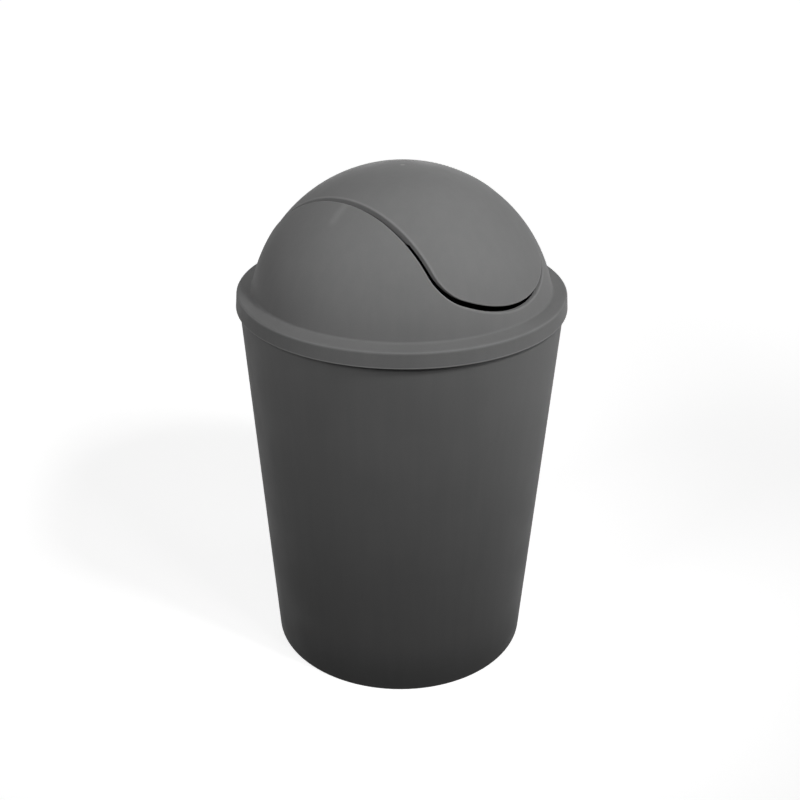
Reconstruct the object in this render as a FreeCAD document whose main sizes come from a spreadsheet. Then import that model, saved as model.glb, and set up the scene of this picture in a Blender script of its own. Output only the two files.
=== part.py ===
import FreeCAD, Part
import math
import os
import Sketcher

# Swing bin with a domed lid: a tapered bucket, a lift-off lid with a fixed dome, and a swing flap.
# The origin is the centre of the base on the floor, +Z is up, the front of the flap looks along -Y
# and its pivot lies along X. All sizes are in millimetres.

os.makedirs("parts", exist_ok=True)
doc = FreeCAD.newDocument("swing_bin")

# Driving dimensions: name, value, what it is
SIZES = [
    ("base_radius", "77.5", "bucket, outside radius at the floor"),
    ("body_wall", "1.7", "bucket, side wall"),
    ("base_wall", "2.2", "bucket, base plate"),
    ("base_recess", "2.6", "height of the base plate above the floor"),
    ("foot_ring", "3.2", "width of the ring that the bucket stands on"),
    ("base_edge_round", "1.2", "rounding of the bucket's lower outer edge"),
    ("base_inner_round", "4.0", "rounding inside the bucket, wall to base"),
    ("edge_gap", "0.5", "gap between the bucket's side and the skirt's lower edge"),
    ("neck_drop", "1.0", "how far below the skirt's edge the bucket's side steps in"),
    ("neck_bevel", "0.6", "height of that step"),
    ("rim_side_gap", "0.3", "gap between the rim and the inside of the skirt, at its top"),
    ("seat_gap", "0.3", "gap between the rim and the underside of the lid's shelf"),
    ("rim_round", "0.5", "rounding of the rim's two edges"),
    ("lid_edge_height", "220.4", "skirt's lower edge above the floor"),
    ("skirt_radius", "95.0", "skirt, outside radius at its lower edge"),
    ("skirt_height", "9.1", "skirt, lower edge to the corner with the shelf"),
    ("skirt_lean", "0.75", "skirt, radius lost from its lower edge to that corner"),
    ("skirt_wall", "1.6", "skirt, wall"),
    ("skirt_round", "1.6", "rounding between skirt and shelf"),
    ("skirt_edge_round", "0.4", "rounding of the skirt's lower outer edge"),
    ("shelf_width", "8.45", "shelf, from its corner with the skirt to the foot of the dome"),
    ("shelf_rise", "1.3", "rise of the shelf over that width"),
    ("dome_rise", "69.2", "rise of the dome from its foot to its top"),
    ("dome_blend", "1.5", "hollow rounding between shelf and dome"),
    ("lid_wall", "1.9", "dome and shelf, wall"),
    ("opening_half", "43.9", "half the width of the throw-in opening"),
    ("sill_rise", "7.9", "lowest point of the opening above the foot of the dome"),
    ("tongue_round", "77.5", "radius of the tongue ends and of the opening under them, from the front"),
    ("corner_round", "16.5", "radius of the opening's corners, from the front"),
    ("opening_edge", "0.7", "rounding of the opening's outer edge"),
    ("side_gap", "1.8", "gap between the flap's straight edges and the opening"),
    ("tongue_gap", "2.1", "gap under the flap's tongues, from the front"),
    ("front_lift", "0.95", "how far the flap hangs with its front tongue out and its back tongue in"),
    ("flap_wall", "1.9", "flap, wall"),
    ("flap_edge", "0.6", "rounding of the flap's outer edge"),
    ("pivot_drop", "5.0", "pivot axis below the dome's wall, at the opening's edge"),
    ("cheek_drop", "7.0", "lower edge of the flap's two flat cheeks below the pivot axis"),
    ("pin_radius", "3.0", "pivot pins, radius"),
    ("pin_clearance", "0.08", "running clearance round the pins"),
    ("pin_overhang", "1.0", "how far the pins stand out past the cheeks"),
    ("pin_chamfer", "0.6", "chamfer of the pins' ends"),
    ("hanger_wall", "1.7", "hanger plates, wall"),
    ("hanger_half", "16.0", "hanger plates, half width where they join the dome"),
    ("hanger_foot", "4.2", "hanger plates, radius of the lower end"),
    ("stop_drop", "28.0", "stop pegs, distance below the pivot"),
    ("stop_radius", "2.2", "stop pegs, radius"),
    ("rib_wall", "1.4", "ribs behind the hangers, wall"),
    ("rib_reach", "54.1", "ribs, reach from the middle of the lid"),
    ("rib_drop", "5.0", "ribs, depth below the pivot at the hangers"),
    ("cut_overrun", "5.0", "how far a cutting outline runs past the solid"),
]

# Worked sizes: name, formula, what it is
WORKED = [
    ("skirt_top_radius", "sheet.skirt_radius - sheet.skirt_lean", "corner of skirt and shelf"),
    ("skirt_top", "sheet.lid_edge_height + sheet.skirt_height", "height of that corner"),
    ("skirt_inside", "sheet.skirt_radius - sheet.skirt_wall", "inside of the skirt at its edge"),
    ("seat_radius", "skirt_top_radius - sheet.skirt_wall", "inside of the skirt at its top"),
    ("foot_height", "skirt_top + sheet.shelf_rise", "foot of the dome"),
    ("foot_radius", "skirt_top_radius - sheet.shelf_width", "radius of that foot"),
    ("dome_top", "foot_height + sheet.dome_rise", "top of the dome, the overall height"),
    ("dome_radius", "sheet.dome_rise / 2 + foot_radius ^ 2 / (2 * sheet.dome_rise)", "outside of the sphere"),
    ("dome_centre", "dome_top - dome_radius", "height of the sphere's centre"),
    ("shelf_slope", "sheet.shelf_rise / sheet.shelf_width", "rise of the shelf per length"),
    ("seat_height", "skirt_top + shelf_slope * sheet.skirt_wall - sheet.lid_wall * sqrt(1 + shelf_slope ^ 2)",
     "underside of the shelf at the skirt"),
    ("lid_inner", "dome_radius - sheet.lid_wall", "inside radius of the lid's dome"),
    ("lid_inner_top", "dome_top - sheet.lid_wall", "top of the lid's inside"),
    ("inner_foot_radius", "foot_radius - sheet.lid_wall", "rough place of the inner foot"),
    ("inner_foot_height", "foot_height - sheet.lid_wall", "rough height of the inner foot"),
    ("body_radius", "skirt_inside - sheet.edge_gap", "bucket's side at the skirt's edge"),
    ("neck_height", "sheet.lid_edge_height - sheet.neck_drop", "top of the tapered side"),
    ("body_taper", "(body_radius - sheet.base_radius) / sheet.lid_edge_height", "radius gained per height"),
    ("neck_radius", "sheet.base_radius + body_taper * neck_height", "tapered side at its top"),
    ("rim_radius", "seat_radius - sheet.rim_side_gap", "outside of the rim"),
    ("rim_foot", "neck_height + sheet.neck_bevel", "lower end of the upright rim"),
    ("rim_height", "seat_height + shelf_slope * sheet.rim_side_gap - sheet.seat_gap", "top of the rim"),
    ("rim_inside", "rim_radius - sheet.body_wall", "inside of the rim"),
    ("neck_inside", "neck_radius - sheet.body_wall", "inside of the tapered side at its top"),
    ("floor_height", "sheet.base_recess + sheet.base_wall", "inside floor of the bucket"),
    ("floor_radius", "sheet.base_radius - sheet.body_wall + body_taper * floor_height",
     "inside of the wall at the floor"),
    ("ring_inside", "sheet.base_radius - sheet.foot_ring", "inside of the foot ring"),
    ("opening_sill", "foot_height + sheet.sill_rise", "lowest point of the opening"),
    ("cut_top", "dome_top + sheet.cut_overrun", "upper end of the cutting outlines"),
    ("cut_half", "sheet.skirt_radius + sheet.cut_overrun", "half width of the cut round the flap"),
    ("cut_low", "opening_sill - sheet.cut_overrun", "lower end of the cut round the flap"),
    ("cut_roof", "cut_top + sheet.cut_overrun", "upper end of the cut round the flap"),
    ("sill_centre", "opening_sill + sheet.tongue_round", "centre of the opening's lower arc"),
    ("flap_half", "sheet.opening_half - sheet.side_gap", "half the width of the flap"),
    ("flap_low", "opening_sill + sheet.tongue_gap", "lowest point of the flap's tongues"),
    ("flap_centre", "flap_low + sheet.tongue_round", "centre of the tongue's lower arc"),
    ("flap_corner", "sheet.corner_round - sheet.side_gap", "radius of the flap's corners"),
    ("flap_inner", "dome_radius - sheet.flap_wall", "inside radius of the flap"),
    ("flap_inner_top", "dome_top - sheet.flap_wall", "top of the flap's inside"),
    ("cap_radius", "sqrt(dome_radius ^ 2 - (opening_sill - dome_centre) ^ 2)",
     "edge of the cap that the flap is cut from"),
    ("cap_inside", "sqrt(flap_inner ^ 2 - (opening_sill - dome_centre) ^ 2)", "its inner edge"),
    ("pivot_height", "dome_centre + sqrt(lid_inner ^ 2 - sheet.opening_half ^ 2) - sheet.pivot_drop",
     "pivot axis above the floor"),
    ("hang_turn", "atan(sheet.front_lift / cap_radius)", "turn of the hanging flap about its pivot"),
    ("cheek_height", "pivot_height - sheet.cheek_drop", "lower edge of the cheeks"),
    ("cheek_inside", "flap_half - sheet.flap_wall", "inner face of the cheeks"),
    ("cheek_radius", "(sqrt(dome_radius ^ 2 - flap_half ^ 2) + sqrt(flap_inner ^ 2 - cheek_inside ^ 2)) / 2",
     "round edge of the cheeks, inside the flap's wall"),
    ("cheek_half", "sqrt(cheek_radius ^ 2 - (cheek_height - dome_centre) ^ 2)", "half length of their edge"),
    ("hole_radius", "sheet.pin_radius + sheet.pin_clearance", "pivot holes in the cheeks"),
    ("hanger_outside", "sheet.opening_half + sheet.hanger_wall", "outer face of the hangers"),
    ("hanger_radius", "(sqrt(dome_radius ^ 2 - hanger_outside ^ 2)"
     " + sqrt(lid_inner ^ 2 - sheet.opening_half ^ 2)) / 2", "round edge of the hangers, in the dome's wall"),
    ("hanger_top", "dome_centre + sqrt(hanger_radius ^ 2 - sheet.hanger_half ^ 2)", "corner of that edge"),
    ("stop_height", "pivot_height - sheet.stop_drop", "stop pegs above the floor"),
    ("stop_length", "sheet.side_gap + sheet.flap_wall", "stop pegs, length"),
    ("pin_length", "stop_length + sheet.pin_overhang", "pivot pins, length"),
    ("pin_end", "sheet.opening_half - pin_length", "end of the pins from the middle of the lid"),
    ("rib_start", "sheet.opening_half + sheet.hanger_wall / 2", "inner end of the ribs, in the hangers"),
    ("rib_radius", "dome_radius - sheet.lid_wall / 2", "round edge of the ribs, in the dome's wall"),
    ("rib_top", "dome_centre + sqrt(rib_radius ^ 2 - rib_start ^ 2)", "inner corner of that edge"),
    ("rib_end", "dome_centre + sqrt(rib_radius ^ 2 - sheet.rib_reach ^ 2)", "outer corner of that edge"),
    ("rib_low", "pivot_height - sheet.rib_drop", "lower inner corner of the ribs"),
]


def fill_sheet(name, rows, lead):
    """A spreadsheet with one named value on each row."""
    table = doc.addObject("Spreadsheet::Sheet", name)
    for row, (alias, content, note) in enumerate(rows, start=1):
        table.set(f"A{row}", alias)
        table.setAlias(f"B{row}", alias)
        table.set(f"B{row}", lead + content)
        table.set(f"C{row}", note)
    doc.recompute()
    return table


sheet = fill_sheet("sheet", SIZES, "")
worked = fill_sheet("worked", WORKED, "=")
DRIVING = {alias for alias, content, note in SIZES}


def cell(name):
    """Full name of a cell, for use in an expression."""
    return f"sheet.{name}" if name in DRIVING else f"worked.{name}"


def value(name):
    """Present value of a cell; 0 stands for a place on an axis."""
    if name == 0:
        return 0.0
    if name.startswith("-"):
        return -value(name[1:])
    return float(getattr(sheet if name in DRIVING else worked, name))


def new_body(label):
    body = doc.addObject("PartDesign::Body", label)
    body.Label = label
    body.Placement = FreeCAD.Placement()
    return body


def origin_plane(body, role):
    return next(item for item in body.Origin.OriginFeatures if item.Role == role)


def new_sketch(body, name, role, offset=None):
    """Sketch on one of the body's origin planes, moved along its normal by a named distance."""
    sketch = body.newObject("Sketcher::SketchObject", name)
    sketch.AttachmentSupport = [(origin_plane(body, role), "")]
    sketch.MapMode = "FlatFace"
    if offset:
        sketch.setExpression(".AttachmentOffset.Base.z", cell(offset))
    return sketch


def bind(sketch, constraint, name):
    """Add a dimension and tie it to a cell."""
    index = sketch.addConstraint(constraint)
    sketch.setExpression(f"Constraints[{index}]", cell(name))


def pin_point(sketch, geo, end, axis, name):
    """Hold one coordinate of a point at a named distance from the origin, or on the axis."""
    if name == 0:
        sketch.addConstraint(Sketcher.Constraint("PointOnObject", geo, end, -2 if axis == "x" else -1))
        return
    kind = "DistanceX" if axis == "x" else "DistanceY"
    if name.startswith("-"):
        bind(sketch, Sketcher.Constraint(kind, geo, end, -1, 1, value(name[1:])), name[1:])
    else:
        bind(sketch, Sketcher.Constraint(kind, -1, 1, geo, end, value(name)), name)


def draw_outline(sketch, corners, arcs):
    """Closed outline. A corner is (x, y, bound coordinates); arcs gives, for the run that starts at
    a corner, (centre height, radius) of an arc about the upright axis. Other runs are straight."""
    places = [FreeCAD.Vector(value(x), value(y), 0) for x, y, bound in corners]
    runs = []
    for number, start in enumerate(places):
        stop = places[(number + 1) % len(places)]
        if number in arcs:
            centre_name, radius_name = arcs[number]
            centre = FreeCAD.Vector(0, value(centre_name), 0)
            first = math.atan2(start.y - centre.y, start.x - centre.x) % math.tau
            last = math.atan2(stop.y - centre.y, stop.x - centre.x) % math.tau
            anticlockwise = (last - first) % math.tau < math.pi
            circle = Part.Circle(centre, FreeCAD.Vector(0, 0, 1), value(radius_name))
            span = (first, last) if anticlockwise else (last, first)
            geo = sketch.addGeometry(Part.ArcOfCircle(circle, *span))
            pin_point(sketch, geo, 3, "x", 0)
            pin_point(sketch, geo, 3, "y", centre_name)
            bind(sketch, Sketcher.Constraint("Radius", geo, value(radius_name)), radius_name)
            runs.append((geo, 1, 2) if anticlockwise else (geo, 2, 1))
        else:
            runs.append((sketch.addGeometry(Part.LineSegment(start, stop)), 1, 2))
    for number, (geo, start_end, stop_end) in enumerate(runs):
        after, after_start, after_stop = runs[(number + 1) % len(runs)]
        sketch.addConstraint(Sketcher.Constraint("Coincident", geo, stop_end, after, after_start))
        x, y, bound = corners[number]
        if "x" in bound:
            pin_point(sketch, geo, start_end, "x", x)
        if "y" in bound:
            pin_point(sketch, geo, start_end, "y", y)
    return [geo for geo, start_end, stop_end in runs]


def draw_circle(sketch, centre_height, radius):
    """Circle on the upright axis of the sketch."""
    circle = Part.Circle(FreeCAD.Vector(0, value(centre_height), 0), FreeCAD.Vector(0, 0, 1), value(radius))
    geo = sketch.addGeometry(circle)
    pin_point(sketch, geo, 3, "x", 0)
    pin_point(sketch, geo, 3, "y", centre_height)
    bind(sketch, Sketcher.Constraint("Radius", geo, value(radius)), radius)


def draw_tongue(sketch, half, centre_height, corner):
    """Upright slot outline with straight sides and a rounded lower end, as seen from the front."""
    width = value(half)
    centre = value(centre_height)
    big = value("tongue_round")
    small = value(corner)
    top = value("cut_top")
    side = width - small
    corner_height = centre - math.sqrt((big - small) ** 2 - side ** 2)
    turn = math.atan2(side, centre - corner_height)
    normal = FreeCAD.Vector(0, 0, 1)
    lower = Part.Circle(FreeCAD.Vector(0, centre, 0), normal, big)
    left_round = Part.Circle(FreeCAD.Vector(-side, corner_height, 0), normal, small)
    right_round = Part.Circle(FreeCAD.Vector(side, corner_height, 0), normal, small)
    down = 1.5 * math.pi
    upper_left = FreeCAD.Vector(-width, top, 0)
    upper_right = FreeCAD.Vector(width, top, 0)
    upper = sketch.addGeometry(Part.LineSegment(upper_right, upper_left))
    left = sketch.addGeometry(Part.LineSegment(upper_left, FreeCAD.Vector(-width, corner_height, 0)))
    left_arc = sketch.addGeometry(Part.ArcOfCircle(left_round, math.pi, down - turn))
    arc = sketch.addGeometry(Part.ArcOfCircle(lower, down - turn, down + turn))
    right_arc = sketch.addGeometry(Part.ArcOfCircle(right_round, down + turn, math.tau))
    right = sketch.addGeometry(Part.LineSegment(FreeCAD.Vector(width, corner_height, 0), upper_right))
    sketch.addConstraint([
        Sketcher.Constraint("Coincident", upper, 2, left, 1),
        Sketcher.Constraint("Tangent", left, 2, left_arc, 1),
        Sketcher.Constraint("Tangent", left_arc, 2, arc, 1),
        Sketcher.Constraint("Tangent", arc, 2, right_arc, 1),
        Sketcher.Constraint("Tangent", right_arc, 2, right, 1),
        Sketcher.Constraint("Coincident", right, 2, upper, 1),
        Sketcher.Constraint("Horizontal", upper),
        Sketcher.Constraint("Vertical", left),
        Sketcher.Constraint("Vertical", right),
        Sketcher.Constraint("Equal", left_arc, right_arc),
    ])
    pin_point(sketch, arc, 3, "x", 0)
    pin_point(sketch, arc, 3, "y", centre_height)
    pin_point(sketch, left, 1, "x", "-" + half)
    pin_point(sketch, right, 2, "x", half)
    pin_point(sketch, upper, 1, "y", "cut_top")
    bind(sketch, Sketcher.Constraint("Radius", arc, big), "tongue_round")
    bind(sketch, Sketcher.Constraint("Radius", right_arc, small), corner)


def revolve(body, sketch, name):
    """Full turn about the upright axis of the sketch."""
    feature = body.newObject("PartDesign::Revolution", name)
    feature.Profile = sketch
    feature.ReferenceAxis = (sketch, ["V_Axis"])
    feature.Angle = 360
    doc.recompute()
    return feature


def pad(body, sketch, name, length, both_ways=False, reverse=False):
    feature = body.newObject("PartDesign::Pad", name)
    feature.Profile = sketch
    feature.setExpression("Length", cell(length))
    if both_ways:
        feature.SideType = "Symmetric"
    feature.Reversed = reverse
    doc.recompute()
    return feature


def cut_through(body, sketch, name):
    """Pocket through everything, both ways from the sketch; it has to take material away."""
    before = body.Shape.Volume
    feature = body.newObject("PartDesign::Pocket", name)
    feature.Profile = sketch
    feature.SideType = "Symmetric"
    feature.Type = "ThroughAll"
    doc.recompute()
    if feature.Shape.isNull() or not feature.Shape.Volume < before:
        raise RuntimeError(f"{name} cuts nothing")
    return feature


def round_edges(body, name, edges, radius):
    base = body.Tip
    feature = body.newObject("PartDesign::Fillet", name)
    feature.Base = (base, edges)
    feature.setExpression("Radius", cell(radius))
    doc.recompute()
    return feature


def mirror(body, name, features):
    """Copy features to the other side of the YZ plane."""
    feature = body.newObject("PartDesign::Mirrored", name)
    feature.Originals = features
    feature.MirrorPlane = (origin_plane(body, "YZ_Plane"), [""])
    body.Tip = feature
    doc.recompute()
    return feature


NEAR = 0.001


def rings(shape, radius, place, axis="z"):
    """Names of the circular edges with this radius whose centre is this far along an axis, either way."""
    found = []
    for number, edge in enumerate(shape.Edges, start=1):
        if edge.Degenerated or edge.Curve.TypeId != "Part::GeomCircle":
            continue
        along = abs(getattr(edge.Curve.Center, axis))
        if abs(edge.Curve.Radius - radius) < NEAR and abs(along - place) < NEAR:
            found.append(f"Edge{number}")
    if not found:
        raise RuntimeError(f"no edge of radius {radius} at {axis} {place}")
    return found


def dome_edges(shape, lowest):
    """Names of the edges that bound the outer face of the sphere and lie above a height."""
    faces = [face for face in shape.Faces if face.Surface.TypeId == "Part::GeomSphere"
             and abs(face.Surface.Radius - value("dome_radius")) < NEAR]
    found = []
    for number, edge in enumerate(shape.Edges, start=1):
        if edge.Degenerated or edge.BoundBox.ZMin < lowest:
            continue
        holders = [face for face in faces if any(edge.isSame(other) for other in face.Edges)]
        if holders and not any(edge.isSeam(face) for face in holders):
            found.append(f"Edge{number}")
    return found


def make_bucket():
    """Tapered bucket: side wall, raised base plate on a foot ring, and an upright rim under the skirt."""
    body = new_body("bin_body")
    section = new_sketch(body, "bucket_section", "XZ_Plane")
    draw_outline(section, [
        (0, "base_recess", "xy"),
        ("ring_inside", "base_recess", "xy"),
        ("ring_inside", 0, "xy"),
        ("base_radius", 0, "xy"),
        ("neck_radius", "neck_height", "xy"),
        ("rim_radius", "rim_foot", "xy"),
        ("rim_radius", "rim_height", "xy"),
        ("rim_inside", "rim_height", "xy"),
        ("rim_inside", "rim_foot", "xy"),
        ("neck_inside", "neck_height", "xy"),
        ("floor_radius", "floor_height", "xy"),
        (0, "floor_height", "xy"),
    ], {})
    shell = revolve(body, section, "bucket_shell")
    round_edges(body, "base_edge", rings(shell.Shape, value("base_radius"), 0), "base_edge_round")
    inner_corner = rings(body.Shape, value("floor_radius"), value("floor_height"))
    round_edges(body, "base_corner", inner_corner, "base_inner_round")
    rim_edges = rings(body.Shape, value("rim_radius"), value("rim_height"))
    rim_edges += rings(body.Shape, value("rim_inside"), value("rim_height"))
    round_edges(body, "rim_edges", rim_edges, "rim_round")
    return body


def make_lid():
    """Lid: skirt, shelf and fixed dome in one shell, with the opening and the two pivot hangers."""
    body = new_body("lid_dome")
    section = new_sketch(body, "lid_section", "YZ_Plane")
    runs = draw_outline(section, [
        ("skirt_inside", "lid_edge_height", "xy"),
        ("skirt_radius", "lid_edge_height", "xy"),
        ("skirt_top_radius", "skirt_top", "xy"),
        ("foot_radius", "foot_height", "y"),
        (0, "dome_top", "x"),
        (0, "lid_inner_top", "x"),
        ("inner_foot_radius", "inner_foot_height", ""),
        ("seat_radius", "seat_height", "xy"),
    ], {3: ("dome_centre", "dome_radius"), 5: ("dome_centre", "lid_inner")})
    shelf, underside = runs[2], runs[6]
    section.addConstraint(Sketcher.Constraint("Parallel", shelf, underside))
    shell = revolve(body, section, "lid_shell")
    foot = rings(shell.Shape, value("foot_radius"), value("foot_height"))
    round_edges(body, "dome_foot", foot, "dome_blend")
    corner = rings(body.Shape, value("skirt_top_radius"), value("skirt_top"))
    round_edges(body, "skirt_corner", corner, "skirt_round")
    lower = rings(body.Shape, value("skirt_radius"), value("lid_edge_height"))
    round_edges(body, "skirt_edge", lower, "skirt_edge_round")

    front = new_sketch(body, "opening_outline", "XZ_Plane")
    draw_tongue(front, "opening_half", "sill_centre", "corner_round")
    cut_through(body, front, "opening")
    low = value("opening_sill") - value("opening_edge")
    round_edges(body, "opening_edges", dome_edges(body.Shape, low), "opening_edge")

    plate = new_sketch(body, "hanger_outline", "YZ_Plane", "opening_half")
    draw_hanger(plate)
    hanger = pad(body, plate, "hanger", "hanger_wall")
    pin_circle = new_sketch(body, "pin_circle", "YZ_Plane", "opening_half")
    draw_circle(pin_circle, "pivot_height", "pin_radius")
    pin = pad(body, pin_circle, "pivot_pin", "pin_length", reverse=True)
    stop_circle = new_sketch(body, "stop_circle", "YZ_Plane", "opening_half")
    draw_circle(stop_circle, "stop_height", "stop_radius")
    stop = pad(body, stop_circle, "stop_peg", "stop_length", reverse=True)
    rib_outline = new_sketch(body, "rib_outline", "XZ_Plane")
    draw_outline(rib_outline, [
        ("rib_start", "rib_low", "xy"),
        ("rib_reach", "rib_end", "x"),
        ("rib_start", "rib_top", "x"),
    ], {1: ("dome_centre", "rib_radius")})
    rib = pad(body, rib_outline, "hanger_rib", "rib_wall", both_ways=True)
    mirror(body, "other_side", [hanger, pin, stop, rib])
    base = body.Tip
    chamfer = body.newObject("PartDesign::Chamfer", "pin_ends")
    chamfer.Base = (base, rings(base.Shape, value("pin_radius"), value("pin_end"), "x"))
    chamfer.setExpression("Size", cell("pin_chamfer"))
    doc.recompute()
    return body


def draw_hanger(sketch):
    """Hanger plate: a round upper edge inside the dome's wall, tapering to a round end at the stop."""
    normal = FreeCAD.Vector(0, 0, 1)
    half = value("hanger_half")
    top = value("hanger_top")
    foot = value("hanger_foot")
    low = value("stop_height")
    centre = value("dome_centre")
    reach = math.atan2(top - centre, half)
    upper = Part.Circle(FreeCAD.Vector(0, centre, 0), normal, value("hanger_radius"))
    lower = Part.Circle(FreeCAD.Vector(0, low, 0), normal, foot)
    arc = sketch.addGeometry(Part.ArcOfCircle(upper, reach, math.pi - reach))
    left = sketch.addGeometry(Part.LineSegment(FreeCAD.Vector(-half, top, 0), FreeCAD.Vector(-foot, low, 0)))
    end = sketch.addGeometry(Part.ArcOfCircle(lower, math.pi, math.tau))
    right = sketch.addGeometry(Part.LineSegment(FreeCAD.Vector(foot, low, 0), FreeCAD.Vector(half, top, 0)))
    sketch.addConstraint([
        Sketcher.Constraint("Coincident", arc, 2, left, 1),
        Sketcher.Constraint("Tangent", left, 2, end, 1),
        Sketcher.Constraint("Tangent", end, 2, right, 1),
        Sketcher.Constraint("Coincident", right, 2, arc, 1),
    ])
    pin_point(sketch, arc, 3, "x", 0)
    pin_point(sketch, arc, 3, "y", "dome_centre")
    bind(sketch, Sketcher.Constraint("Radius", arc, value("hanger_radius")), "hanger_radius")
    pin_point(sketch, left, 1, "x", "-hanger_half")
    pin_point(sketch, right, 2, "x", "hanger_half")
    pin_point(sketch, end, 3, "x", 0)
    pin_point(sketch, end, 3, "y", "stop_height")
    bind(sketch, Sketcher.Constraint("Radius", end, foot), "hanger_foot")


def make_flap():
    """Swing flap: a strap of the dome with a tongue at each end and two flat cheeks on the pins."""
    body = new_body("swing_flap")
    section = new_sketch(body, "cap_section", "YZ_Plane")
    draw_outline(section, [
        ("cap_radius", "opening_sill", "y"),
        (0, "dome_top", "x"),
        (0, "flap_inner_top", "x"),
        ("cap_inside", "opening_sill", "y"),
    ], {0: ("dome_centre", "dome_radius"), 2: ("dome_centre", "flap_inner")})
    revolve(body, section, "cap_shell")
    cheek_outline = new_sketch(body, "cheek_outline", "YZ_Plane", "cheek_inside")
    draw_outline(cheek_outline, [
        ("-cheek_half", "cheek_height", "y"),
        ("cheek_half", "cheek_height", "y"),
    ], {1: ("dome_centre", "cheek_radius")})
    cheek = pad(body, cheek_outline, "cheek", "flap_wall")
    mirror(body, "other_cheek", [cheek])

    front = new_sketch(body, "flap_outline", "XZ_Plane")
    draw_tongue(front, "flap_half", "flap_centre", "flap_corner")
    draw_outline(front, [
        ("-cut_half", "cut_low", "xy"),
        ("cut_half", "cut_low", "xy"),
        ("cut_half", "cut_roof", "xy"),
        ("-cut_half", "cut_roof", "xy"),
    ], {})
    cut_through(body, front, "strap")
    hole_circle = new_sketch(body, "hole_circle", "YZ_Plane")
    draw_circle(hole_circle, "pivot_height", "hole_radius")
    cut_through(body, hole_circle, "pivot_holes")
    low = value("opening_sill") + value("flap_edge")
    round_edges(body, "flap_edges", dome_edges(body.Shape, low), "flap_edge")
    hang(body)
    return body


def hang(body):
    """Turn the flap about its pivot, front tongue outwards, as it hangs in the photograph."""
    turn = FreeCAD.Rotation(FreeCAD.Vector(-1, 0, 0), value("hang_turn"))
    body.Placement = FreeCAD.Placement(FreeCAD.Vector(), turn)
    body.setExpression(".Placement.Rotation.Angle", cell("hang_turn"))
    pivot = cell("pivot_height")
    body.setExpression(".Placement.Base.y", f"-{pivot} * sin({cell('hang_turn')})")
    body.setExpression(".Placement.Base.z", f"{pivot} * (1 - cos({cell('hang_turn')}))")
    doc.recompute()


bodies = [make_bucket(), make_lid(), make_flap()]
doc.recompute()

for item in doc.Objects:
    if "Invalid" in item.State or "Error" in item.State:
        raise RuntimeError(f"{item.Name} failed: {item.State}")
for body in bodies:
    if body.Shape.isNull() or not body.Shape.isValid():
        raise RuntimeError(f"{body.Label} has no valid shape")
    print(body.Label, "solids", len(body.Shape.Solids), "volume", round(body.Shape.Volume, 1))
    body.Shape.exportStep(f"parts/{body.Label}.step")
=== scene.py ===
"""Looks of the swing bin: matt dark grey mouldings on a pale floor, seen as in the photograph.

Metres, in the part's own frame: the middle of the base is the origin, +Z is up and the flap's
pivot lies along X.
"""

import math

import bpy
from mathutils import Matrix, Vector

MM = 0.001

# The photograph's camera, in pixels where it says so
IMAGE_SIDE = 800  # pixels
FOCAL_LENGTH = 1212.4  # pixels
AXIS_COLUMN = 401.1  # pixels, where the bin's axis crosses the middle row
SENSOR_WIDTH = 36.0  # Blender's sensor millimetres
CAMERA_DISTANCE = 0.6518  # from the bin's axis
CAMERA_HEIGHT = 0.4808
CAMERA_AZIMUTH = math.radians(-138.3)
CAMERA_PITCH = math.radians(26.486)  # downwards
CAMERA_ROLL = math.radians(0.43)

# Colours are linear grey levels
PLASTIC = 0.11
FLOOR = 0.55
FLOOR_BOUNCE = 0.06
FLOOR_RADIUS = 8.0
FLOOR_STEPS = 64  # corners of its rim
GLOW_NEAR = 0.78  # what the floor glows by itself beside the bin, where lamps and shadow fall
GLOW_REACH = 0.9  # from the bin's axis to where it is white without them
AMBIENT = 0.02

# Places on the part that the materials follow, as in its source
BASE_RADIUS = 77.5 * MM
BODY_TAPER = 15.4 / 220.4  # radius gained per height
BODY_WALL = 1.7 * MM
BASE_UNDERSIDE = 2.6 * MM
BASE_MIDDLE = 3.9 * MM  # within the base plate
SKIRT_EDGE = 220.4 * MM
SKIRT_RADIUS = 95.0 * MM
SKIRT_ROUND = 0.4 * MM  # of its lower edge
SKIRT_CORNER = (94.25 * MM, 229.5 * MM)  # radius and height
DOME_FOOT = 230.8 * MM
DOME_TOP = 300.0 * MM
DOME_RADIUS = 87.8 * MM
LID_WALL = 1.9 * MM
RIB_REACH = 54.1 * MM  # from the middle of the lid, behind the dome
TONGUE_ROUND = 77.5 * MM
OPENING = (43.9 * MM, 238.7 * MM, 16.5 * MM)  # half width, lowest point and corners, from the front
FLAP = (42.1 * MM, 240.8 * MM, 14.7 * MM)
PIVOT_HEIGHT = 281.03 * MM
FLAP_HANG = math.radians(0.65)  # the flap's turn in its rest pose

# The moulded surface
GRAIN = 0.35 * MM  # lumps of the spark-eroded outside
GRAIN_DEPTH = 0.012 * MM
GRAIN_INSIDE = 0.3  # of that depth, on the polished core side
WAVE = 22 * MM  # slow unevenness of a cooled wall
WAVE_DEPTH = 0.02 * MM
INNER_SIDE = (0.4, 0.8)  # shares of the wall's thickness between which the inside's finish sets in
ROUGH_OUTSIDE = 0.6
ROUGH_INSIDE = 0.42  # the core side of the mould is polished
ROUGH_SWING = 0.04
GLOSS = 0.05  # specular level

# Uneven pigment, and painted shade at the bucket's foot: sizes, and shares of the colour that are
# gained or lost
NOISE_SPAN = (0.3, 0.7)  # where most of Blender's noise lies
CLOUD = 44 * MM
CLOUD_SWING = 0.03
FLOW = 5 * MM  # streaks of the melt, drawn out upwards
FLOW_DRAWN = (1, 1, 0.06)
FLOW_SWING = 0.015
SPECKLE_SWING = 0.03
PAINTED_SHADE_HEIGHT = 40 * MM  # height up to which the bucket's colour is darkened towards the floor, as painted shade
PAINTED_SHADE_AT_FLOOR = 0.72
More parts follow.
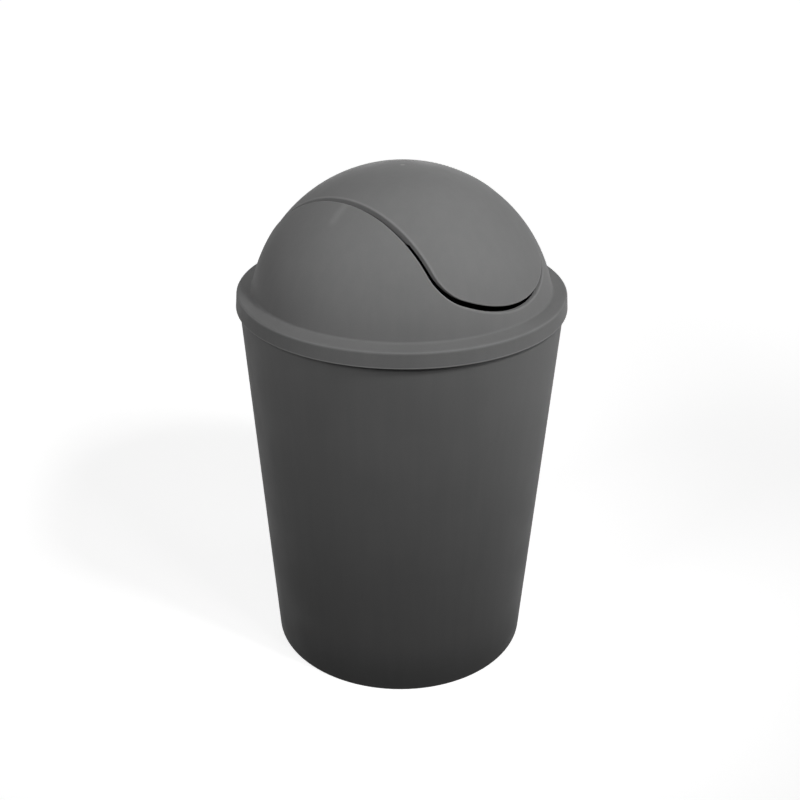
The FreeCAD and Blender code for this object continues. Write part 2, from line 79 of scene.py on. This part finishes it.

# Marks, and painted highlights along edges: sizes, and how pale they are
DENT_DEPTH = 0.05 * MM
MARK_LIGHT = 0.35  # share of the colour that a paleness of 1 adds
SINK_HALF = 4.0 * MM  # half the width of a sink mark
# the sink mark's paleness is a painted sheen over its real dent
SINK_PAINTED_SHEEN = 0.55
GATE_REACH = 1.6 * MM  # radius of the gate's stub
GATE_CORE = 0.6  # share of that radius where it is full
GATE_DENT = 0.3
GATE_PALE = 1.5
EDGE_HIGHLIGHT_WIDTH = 0.7 * MM  # width of the painted highlights along edges
EDGE_HIGHLIGHT_CORE = 0.4
# how pale the painted highlights are along the opening and the flap, and along the skirt's lower edge
EDGE_HIGHLIGHT_PALE = 0.6
SKIRT_EDGE_HIGHLIGHT_PALE = 1.2
SCUFF_HEIGHT = (0.2 * MM, 2.0 * MM)  # where scuffs fade out above the floor
SCUFF = 1.2 * MM
SCUFF_DRAWN = (1, 1, 6)
SCUFF_DETAIL = 5.0
SCUFF_SPAN = (0.52, 0.68)
SCUFF_PALE = 0.7

# Soft boxes. Azimuths and spreads are in degrees, azimuths from the camera's towards the picture's
# right; reach is from the bin's axis, and side is the box's own size
LAMPS = [
    {"name": "key", "azimuth": 46, "reach": 0.50, "height": 0.78,
     "side": 0.12, "spread": 60, "watts": 0.46},
    {"name": "key_low", "azimuth": 33, "reach": 0.60, "height": 0.70,
     "side": 0.12, "spread": 46, "watts": 0.10},
    {"name": "right", "azimuth": 90, "reach": 0.70, "height": 0.25,
     "side": 0.35, "spread": 52, "watts": 0.28},
    {"name": "left", "azimuth": -50, "reach": 0.60, "height": 0.62,
     "side": 0.35, "spread": 60, "watts": 0.40},
    {"name": "back", "azimuth": 180, "reach": 0.70, "height": 0.35,
     "side": 0.40, "spread": 52, "watts": 0.13},
    {"name": "front", "azimuth": 5, "reach": 0.60, "height": 0.62,
     "side": 0.35, "spread": 60, "watts": 0.08},
]
LAMP_AIM = Vector((0, 0, 0.26))


def make_camera():
    """Camera at the photograph's place, turned a little so that the axis falls on its own column."""
    place = Vector((CAMERA_DISTANCE * math.cos(CAMERA_AZIMUTH),
                    CAMERA_DISTANCE * math.sin(CAMERA_AZIMUTH), CAMERA_HEIGHT))
    heading = CAMERA_AZIMUTH + math.pi + (AXIS_COLUMN - IMAGE_SIDE / 2) / FOCAL_LENGTH
    level = Vector((math.cos(heading), math.sin(heading), 0.0))
    forward = level * math.cos(CAMERA_PITCH) - Vector((0, 0, math.sin(CAMERA_PITCH)))
    right = forward.cross(Vector((0, 0, 1))).normalized()
    up = right.cross(forward)
    rolled_right = right * math.cos(CAMERA_ROLL) + up * math.sin(CAMERA_ROLL)
    rolled_up = rolled_right.cross(forward)
    data = bpy.data.cameras.new("camera")
    data.sensor_width = SENSOR_WIDTH
    data.lens = SENSOR_WIDTH * FOCAL_LENGTH / IMAGE_SIDE
    camera = bpy.data.objects.new("camera", data)
    camera.matrix_world = Matrix.Translation(place) @ Matrix(
        (rolled_right, rolled_up, -forward)).transposed().to_4x4()
    bpy.context.scene.collection.objects.link(camera)
    bpy.context.scene.camera = camera


def make_lamp(name, azimuth, reach, height, side, spread, watts):
    """Soft box at a height and a distance from the bin's axis, turned to the dome."""
    turn = CAMERA_AZIMUTH + math.radians(azimuth)
    place = Vector((reach * math.cos(turn), reach * math.sin(turn), height))
    data = bpy.data.lights.new(name, "AREA")
    data.size = side
    data.spread = math.radians(spread)
    data.energy = watts
    lamp = bpy.data.objects.new(name, data)
    facing = (place - LAMP_AIM).to_track_quat("Z", "Y")
    lamp.matrix_world = Matrix.Translation(place) @ facing.to_matrix().to_4x4()
    lamp.visible_camera = False
    bpy.context.scene.collection.objects.link(lamp)


class Nodes:
    """Short ways to fill one node tree."""

    def __init__(self, owner):
        owner.use_nodes = True
        self.tree = owner.node_tree
        self.tree.nodes.clear()

    def add(self, kind, settings=None, **inputs):
        """A node whose inputs, named with _ for a space, get values or other nodes' sockets."""
        made = self.tree.nodes.new(kind)
        for name, setting in (settings or {}).items():
            setattr(made, name, setting)
        for name, given in inputs.items():
            self.feed(made.inputs[name.replace("_", " ")], given)
        return made

    def feed(self, socket, given):
        if isinstance(given, bpy.types.NodeSocket):
            self.tree.links.new(given, socket)
        else:
            socket.default_value = given

    def math(self, operation, *given):
        made = self.tree.nodes.new("ShaderNodeMath")
        made.operation = operation
        for socket, number in zip(made.inputs, given):
            self.feed(socket, number)
        return made.outputs[0]

    def noise(self, place, size, detail=2.0):
        """Cloudy pattern between 0 and 1 with lumps of about this size."""
        return self.add("ShaderNodeTexNoise", Vector=place, Scale=1 / size, Detail=detail).outputs[0]

    def swing(self, place, size, most):
        """Cloudy pattern that goes up and down about 0 by at most this much."""
        return self.fade(self.noise(place, size), *NOISE_SPAN, -most, most)

    def fade(self, given, start, stop, first, last):
        """Goes smoothly from first to last while the given value goes from start to stop."""
        made = self.add("ShaderNodeMapRange", {"interpolation_type": "SMOOTHSTEP"}, Value=given,
                        From_Min=start, From_Max=stop, To_Min=first, To_Max=last)
        return made.outputs[0]

    def length(self, vector):
        return self.add("ShaderNodeVectorMath", {"operation": "LENGTH"}, Vector=vector).outputs["Value"]

    def hypot(self, one, other):
        squares = self.math("MULTIPLY_ADD", one, one, self.math("MULTIPLY", other, other))
        return self.math("SQRT", squares)

    def choose(self, test, no, yes):
        """One number where the test is 0 and the other where it is 1."""
        return self.math("MULTIPLY_ADD", test, self.math("SUBTRACT", yes, no), no)

    def near(self, place, centre, reach):
        """1 at a point, falling to 0 at a distance from it."""
        away = self.add("ShaderNodeVectorMath", {"operation": "SUBTRACT"}, Vector=place)
        away.inputs[1].default_value = centre
        return self.fade(self.length(away.outputs[0]), GATE_CORE * reach, reach, 1.0, 0.0)

    def stretched(self, place, scales):
        """Places drawn together or apart along the axes."""
        made = self.add("ShaderNodeVectorMath", {"operation": "MULTIPLY"}, Vector=place)
        made.inputs[1].default_value = scales
        return made.outputs[0]

    def bump(self, height, depth, under=None):
        made = self.add("ShaderNodeBump", Height=height, Distance=depth)
        if under:
            self.feed(made.inputs["Normal"], under)
        return made.outputs[0]

    def seen(self):
        """1 for rays from the camera, mirror rays and rays through glass, else 0."""
        path = self.add("ShaderNodeLightPath").outputs
        some = self.math("MAXIMUM", path["Is Camera Ray"], path["Is Glossy Ray"])
        return self.math("MAXIMUM", some, path["Is Transmission Ray"])


def grey(level):
    return (level, level, level, 1.0)


def make_world():
    """White where it is seen, and an even soft light otherwise."""
    world = bpy.data.worlds.new("studio")
    nodes = Nodes(world)
    white = nodes.add("ShaderNodeBackground", Color=grey(1.0), Strength=1.0)
    soft = nodes.add("ShaderNodeBackground", Color=grey(1.0), Strength=AMBIENT)
    mix = nodes.add("ShaderNodeMixShader", Fac=nodes.seen())
    nodes.feed(mix.inputs[1], soft.outputs[0])
    nodes.feed(mix.inputs[2], white.outputs[0])
    nodes.add("ShaderNodeOutputWorld", Surface=mix.outputs[0])
    bpy.context.scene.world = world


def make_floor():
    """Plain pale floor."""
    material = bpy.data.materials.new("floor")
    nodes = Nodes(material)
    seen = nodes.add("ShaderNodeBsdfDiffuse", Color=grey(FLOOR))
    place = nodes.add("ShaderNodeTexCoord").outputs["Object"]
    strength = nodes.fade(nodes.length(place), 0.0, GLOW_REACH, GLOW_NEAR, 1.0)
    glow = nodes.add("ShaderNodeEmission", Color=grey(1.0), Strength=strength)
    bright = nodes.add("ShaderNodeAddShader")
    nodes.feed(bright.inputs[0], seen.outputs[0])
    nodes.feed(bright.inputs[1], glow.outputs[0])
    bounce = nodes.add("ShaderNodeBsdfDiffuse", Color=grey(FLOOR_BOUNCE))
    mix = nodes.add("ShaderNodeMixShader", Fac=nodes.seen())
    nodes.feed(mix.inputs[1], bounce.outputs[0])
    nodes.feed(mix.inputs[2], bright.outputs[0])
    nodes.add("ShaderNodeOutputMaterial", Surface=mix.outputs[0])
    mesh = bpy.data.meshes.new("floor")
    turns = [math.tau * step / FLOOR_STEPS for step in range(FLOOR_STEPS)]
    rim = [(FLOOR_RADIUS * math.cos(turn), FLOOR_RADIUS * math.sin(turn), 0) for turn in turns]
    mesh.from_pydata(rim, [], [range(FLOOR_STEPS)])
    mesh.materials.append(material)
    floor = bpy.data.objects.new("floor", mesh)
    bpy.context.scene.collection.objects.link(floor)


def plastic(name, find_inside, find_marks_and_highlights):
    """Matt moulded polypropylene: fine grain outside, smoother inside, a slightly uneven tint, and
    painted shade that darkens the colour towards the floor.

    find_inside gives 1 on the piece's inner surfaces; the other finder gives how deep and how pale its
    marks are, painted highlights and painted sheen among them, 0 where there is none."""
    material = bpy.data.materials.new(name)
    nodes = Nodes(material)
    place = nodes.add("ShaderNodeTexCoord").outputs["Object"]
    axes = nodes.add("ShaderNodeSeparateXYZ", Vector=place).outputs
    inside = find_inside(nodes, place, axes)
    dent, pale = find_marks_and_highlights(nodes, place, axes)

    cloud = nodes.swing(place, CLOUD, CLOUD_SWING)
    flow = nodes.swing(nodes.stretched(place, FLOW_DRAWN), FLOW, FLOW_SWING)
    speckle = nodes.swing(place, GRAIN, SPECKLE_SWING)
    uneven = nodes.math("ADD", nodes.math("ADD", cloud, flow), nodes.math("ADD", speckle, 1.0))
    marked = nodes.math("MULTIPLY_ADD", pale, MARK_LIGHT, uneven)
    # painted shade: the colour darkens towards the floor below the given height
    tint_and_painted_shade = nodes.fade(axes["Z"], 0.0, PAINTED_SHADE_HEIGHT, PAINTED_SHADE_AT_FLOOR * PLASTIC, PLASTIC)
    colour = nodes.math("MULTIPLY", marked, tint_and_painted_shade)

    polish = nodes.fade(inside, 0.0, 1.0, ROUGH_OUTSIDE, ROUGH_INSIDE)
    rough = nodes.math("ADD", polish, nodes.swing(place, WAVE, ROUGH_SWING))

    wave = nodes.bump(nodes.noise(place, WAVE, 0.0), WAVE_DEPTH)
    dented = nodes.bump(nodes.math("MULTIPLY", dent, -1.0), DENT_DEPTH, wave)
    share = nodes.fade(inside, 0.0, 1.0, 1.0, GRAIN_INSIDE)
    grain = nodes.bump(nodes.math("MULTIPLY", nodes.noise(place, GRAIN), share), GRAIN_DEPTH, dented)

    shader = nodes.add("ShaderNodeBsdfPrincipled", Base_Color=colour, Roughness=rough, Normal=grain)
    shader.inputs["Specular IOR Level"].default_value = GLOSS
    nodes.add("ShaderNodeOutputMaterial", Surface=shader.outputs[0])
    return material


def past_wall(nodes, depth, wall):
    """1 on a wall's inner side, from how deep a place lies under its outer surface."""
    start, stop = INNER_SIDE
    return nodes.fade(depth, start * wall, stop * wall, 0.0, 1.0)


def dome_inside(nodes, place, axes):
    """Inner side of the lid's and the flap's sphere, and all that hangs under it."""
    centre = (0, 0, DOME_TOP - DOME_RADIUS)
    away = nodes.add("ShaderNodeVectorMath", {"operation": "SUBTRACT"}, Vector=place)
    away.inputs[1].default_value = centre
    depth = nodes.math("SUBTRACT", DOME_RADIUS, nodes.length(away.outputs[0]))
    above_foot = nodes.fade(axes["Z"], DOME_FOOT, DOME_FOOT + LID_WALL, 0.0, 1.0)
    return nodes.math("MULTIPLY", past_wall(nodes, depth, LID_WALL), above_foot)


def bucket_inside(nodes, place, axes):
    """Inner side of the bucket's wall, and the base seen from above."""
    from_axis = nodes.length(nodes.stretched(place, (1, 1, 0)))
    wall = nodes.math("MULTIPLY_ADD", axes["Z"], BODY_TAPER, BASE_RADIUS)
    depth = nodes.math("SUBTRACT", wall, from_axis)
    above_base = nodes.fade(axes["Z"], BASE_UNDERSIDE, BASE_MIDDLE, 0.0, 1.0)
    return nodes.math("MULTIPLY", past_wall(nodes, depth, BODY_WALL), above_base)


def outline_depth(nodes, place, half, low, corner):
    """How far a place is inside the outline of the opening or the flap, seen from the front."""
    axes = nodes.add("ShaderNodeSeparateXYZ", Vector=place).outputs
    centre = low + TONGUE_ROUND
    side = half - corner
    drop = math.sqrt((TONGUE_ROUND - corner) ** 2 - side ** 2)
    beside = nodes.math("ABSOLUTE", axes["X"])
    down = nodes.math("SUBTRACT", centre, axes["Z"])
    from_side = nodes.math("SUBTRACT", half, beside)
    from_arc = nodes.math("SUBTRACT", TONGUE_ROUND, nodes.hypot(beside, down))
    past_side = nodes.math("SUBTRACT", beside, side)
    past_drop = nodes.math("SUBTRACT", down, drop)
    from_corner = nodes.math("SUBTRACT", corner, nodes.hypot(past_side, past_drop))
    slant = nodes.math("MULTIPLY", down, side / drop)
    lower = nodes.choose(nodes.math("LESS_THAN", beside, slant), from_corner, from_arc)
    return nodes.choose(nodes.math("GREATER_THAN", past_drop, 0.0), from_side, lower)


def ring_line(nodes, place, axes, radius, height, reach):
    """1 on a ring about the bin's axis, falling to 0 at a distance from it."""
    from_axis = nodes.length(nodes.stretched(place, (1, 1, 0)))
    outwards = nodes.math("SUBTRACT", from_axis, radius)
    upwards = nodes.math("SUBTRACT", axes["Z"], height)
    return nodes.fade(nodes.hypot(outwards, upwards), EDGE_HIGHLIGHT_CORE * reach, reach, 1.0, 0.0)


def lid_marks_and_highlights(nodes, place, axes):
    """Sink marks in the dome over the two ribs, paled with a painted sheen, and painted highlights
    along the edges of the opening and skirt.
    """
    across = nodes.fade(nodes.math("ABSOLUTE", axes["Y"]), 0.0, SINK_HALF, 1.0, 0.0)
    along = nodes.fade(nodes.math("ABSOLUTE", axes["X"]), RIB_REACH, RIB_REACH + SINK_HALF, 1.0, 0.0)
    sink = nodes.math("MULTIPLY", across, along)
    # painted highlights along the opening's sill and along the skirt's upper corner and lower edge
    past = nodes.math("MULTIPLY", outline_depth(nodes, place, *OPENING), -1.0)
    sill = nodes.fade(past, EDGE_HIGHLIGHT_WIDTH, 2 * EDGE_HIGHLIGHT_WIDTH, 1.0, 0.0)
    corner = ring_line(nodes, place, axes, *SKIRT_CORNER, EDGE_HIGHLIGHT_WIDTH)
    lower = ring_line(nodes, place, axes, SKIRT_RADIUS, SKIRT_EDGE + SKIRT_ROUND, EDGE_HIGHLIGHT_WIDTH)
    edge_highlight = nodes.math("MULTIPLY", nodes.math("MAXIMUM", sill, corner), EDGE_HIGHLIGHT_PALE)
    edges = nodes.math("MAXIMUM", edge_highlight, nodes.math("MULTIPLY", lower, SKIRT_EDGE_HIGHLIGHT_PALE))
    # the sink mark's paleness is a painted sheen, and the edges' paleness painted highlights
    return sink, nodes.math("MAXIMUM", nodes.math("MULTIPLY", sink, SINK_PAINTED_SHEEN), edges)


def flap_marks_and_highlights(nodes, place, axes):
    """The gate's stub in the middle of the flap's outside, and painted highlights along its edges."""
    level = nodes.add("ShaderNodeVectorRotate", {"rotation_type": "X_AXIS"}, Vector=place,
                      Center=(0, 0, PIVOT_HEIGHT), Angle=FLAP_HANG).outputs[0]
    gate = nodes.near(level, (0, 0, DOME_TOP), GATE_REACH)
    # painted highlight along the flap's edges
    edge = nodes.fade(outline_depth(nodes, level, *FLAP), EDGE_HIGHLIGHT_WIDTH, 2 * EDGE_HIGHLIGHT_WIDTH, 1.0, 0.0)
    edge_highlight = nodes.math("MULTIPLY", edge, EDGE_HIGHLIGHT_PALE)
    pale = nodes.math("MAXIMUM", nodes.math("MULTIPLY", gate, GATE_PALE), edge_highlight)
    return nodes.math("MULTIPLY", gate, GATE_DENT), pale


def bucket_marks(nodes, place, axes):
    """The gate under the base, and scuffs on the ring that the bucket stands on."""
    gate = nodes.near(place, (0, 0, BASE_UNDERSIDE), 2 * GATE_REACH)
    low = nodes.fade(axes["Z"], *SCUFF_HEIGHT, 1.0, 0.0)
    scratch = nodes.noise(nodes.stretched(place, SCUFF_DRAWN), SCUFF, SCUFF_DETAIL)
    scuff = nodes.math("MULTIPLY", low, nodes.fade(scratch, *SCUFF_SPAN, 0.0, SCUFF_PALE))
    return nodes.math("MULTIPLY", gate, GATE_DENT), nodes.math("MAXIMUM", gate, scuff)


SURFACES = {
    "bin_body": (bucket_inside, bucket_marks),
    "lid_dome": (dome_inside, lid_marks_and_highlights),
    "swing_flap": (dome_inside, flap_marks_and_highlights),
}

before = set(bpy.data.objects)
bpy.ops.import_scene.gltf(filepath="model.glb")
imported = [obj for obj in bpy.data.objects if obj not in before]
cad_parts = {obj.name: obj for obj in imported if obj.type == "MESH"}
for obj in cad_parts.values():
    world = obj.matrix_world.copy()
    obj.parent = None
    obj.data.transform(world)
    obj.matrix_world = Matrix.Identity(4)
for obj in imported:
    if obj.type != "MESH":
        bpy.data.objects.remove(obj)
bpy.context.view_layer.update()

bpy.context.scene.view_settings.view_transform = "Standard"
make_camera()
make_world()
make_floor()
for lamp in LAMPS:
    make_lamp(**lamp)
for node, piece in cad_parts.items():
    piece.material_slots[0].material = plastic(node, *SURFACES[node])
